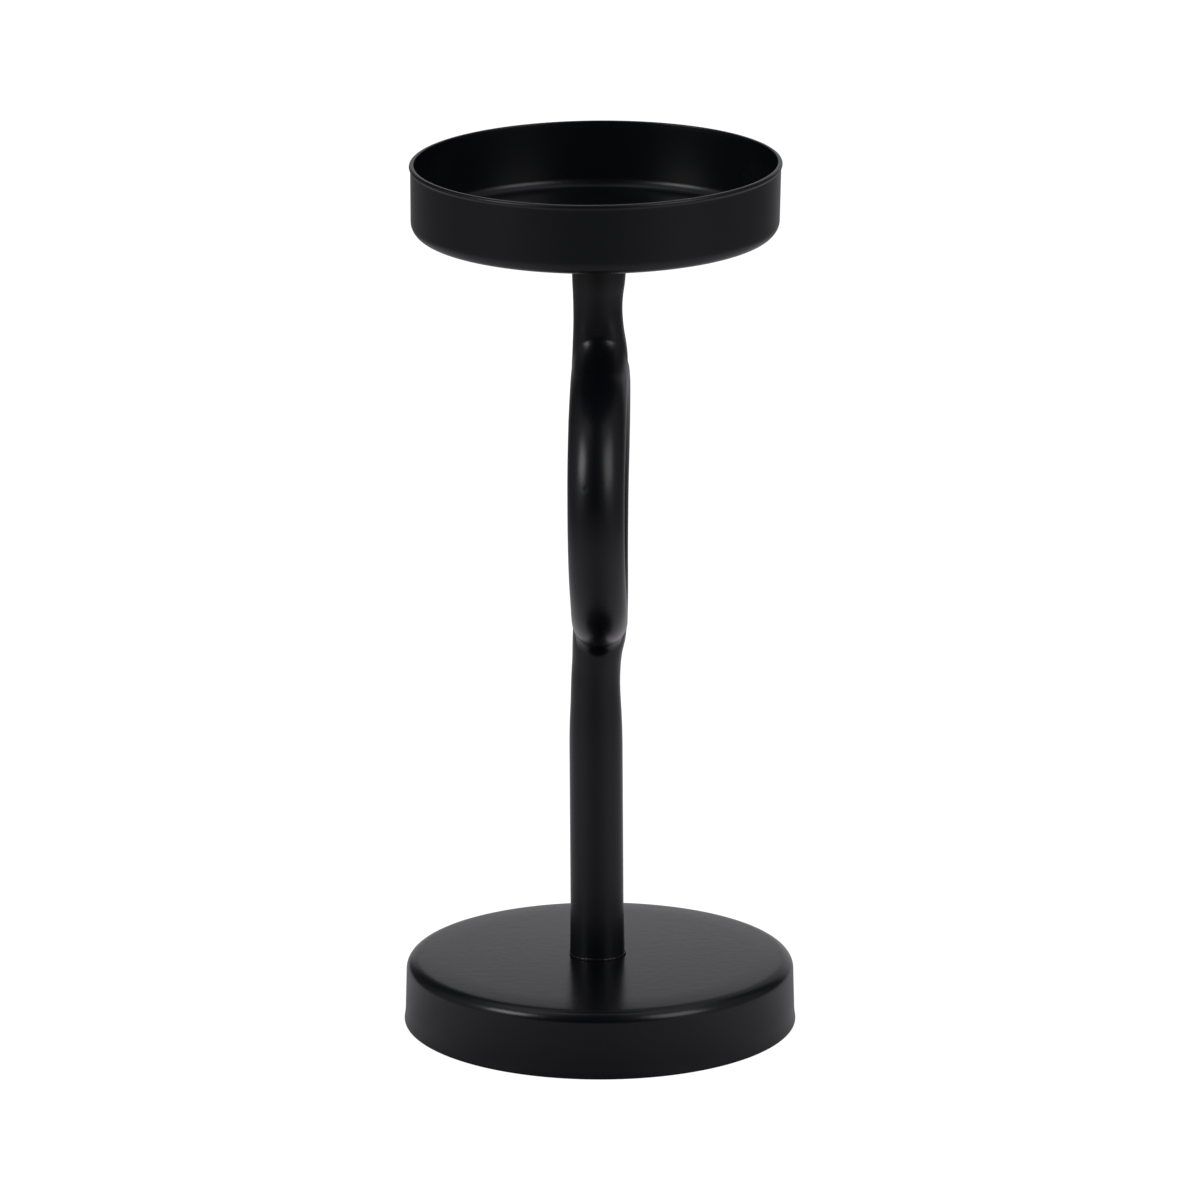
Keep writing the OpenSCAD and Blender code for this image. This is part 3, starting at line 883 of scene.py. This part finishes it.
def build_world():
    """White for the camera and through glass, shaded by direction for the rest, and even light."""
    world = bpy.data.worlds.new("studio")
    bpy.context.scene.world = world
    world.use_nodes = True
    nodes = world.node_tree.nodes
    links = world.node_tree.links
    nodes.clear()
    out = nodes.new("ShaderNodeOutputWorld")
    path = nodes.new("ShaderNodeLightPath")
    place = nodes.new("ShaderNodeTexCoord")
    split = nodes.new("ShaderNodeSeparateXYZ")
    links.new(place.outputs["Generated"], split.inputs[0])
    # low down the screens, overhead a pale ceiling
    height = ramp_of(nodes, links, split.outputs["Z"], CEILING_RISE)
    around = by_azimuth(nodes, links, "Generated", ROOM)
    rest = math_node(nodes, links, "SUBTRACT", 1.0, height)
    fall = ramp_of(nodes, links, split.outputs["Z"], LOSS_RISE)
    loss = math_node(nodes, links, "MULTIPLY", by_azimuth(nodes, links, "Generated", LOSS), fall)
    kept = math_node(nodes, links, "SUBTRACT", 1.0, loss)
    keep = math_node(nodes, links, "MULTIPLY", kept, rest)
    low = math_node(nodes, links, "MULTIPLY", around, keep)
    high = math_node(nodes, links, "MULTIPLY", height, by_azimuth(nodes, links, "Generated", CEILING))
    seen = math_node(nodes, links, "ADD", low, high)
    even = math_node(nodes, links, "MULTIPLY", path.outputs["Is Diffuse Ray"], EVEN_LIGHT)
    level = math_node(nodes, links, "ADD", seen, even)
    room = nodes.new("ShaderNodeBackground")
    room.inputs["Color"].default_value = ROOM_TINT
    links.new(level, room.inputs["Strength"])
    white = nodes.new("ShaderNodeBackground")
    white.inputs["Color"].default_value = WHITE
    white.inputs["Strength"].default_value = 1.0
    mix = nodes.new("ShaderNodeMixShader")
    clear = math_node(
        nodes, links, "MAXIMUM", path.outputs["Is Camera Ray"], path.outputs["Is Transmission Ray"],
    )
    links.new(clear, mix.inputs["Fac"])
    links.new(room.outputs[0], mix.inputs[1])
    links.new(white.outputs[0], mix.inputs[2])
    links.new(mix.outputs[0], out.inputs["Surface"])


def soft_box(name, direction, distance, width, height, power):
    """Rectangular lamp that faces the object's middle from a direction and a distance."""
    light = bpy.data.lights.new(name, "AREA")
    light.shape = "RECTANGLE"
    light.size = width
    light.size_y = height
    light.energy = power
    obj = bpy.data.objects.new(name, light)
    bpy.context.scene.collection.objects.link(obj)
    d = Vector(direction).normalized()
    obj.location = LAMP_AIM + d * distance
    obj.rotation_euler = (-d).to_track_quat("-Z", "Y").to_euler()
    return obj


build_floor()
build_world()
soft_box("left_box", (-0.750, -0.462, 0.485), distance=1.3, width=0.52, height=0.47, power=4.9)
soft_box("right_box", (0.685, -0.543, 0.515), distance=1.3, width=0.66, height=0.64, power=4.1)


def build_camera():
    """A long lens, fitted to the photograph."""
    data = bpy.data.cameras.new("camera")
    data.sensor_width = 36.0
    data.lens = 285.55
    data.clip_start = 0.1
    data.clip_end = 100.0
    cam = bpy.data.objects.new("camera", data)
    bpy.context.scene.collection.objects.link(cam)
    aim = Vector((0, 0, 0.13313))
    pitch = math.radians(15.936)
    turn = math.radians(1.42)
    far = 2.8877
    flat = far * math.cos(pitch)
    cam.location = aim + Vector((flat * math.sin(turn), -flat * math.cos(turn), far * math.sin(pitch)))
    cam.rotation_euler = (aim - cam.location).to_track_quat("-Z", "Y").to_euler()
    bpy.context.scene.camera = cam


build_camera()

scene = bpy.context.scene
scene.view_settings.view_transform = "Standard"
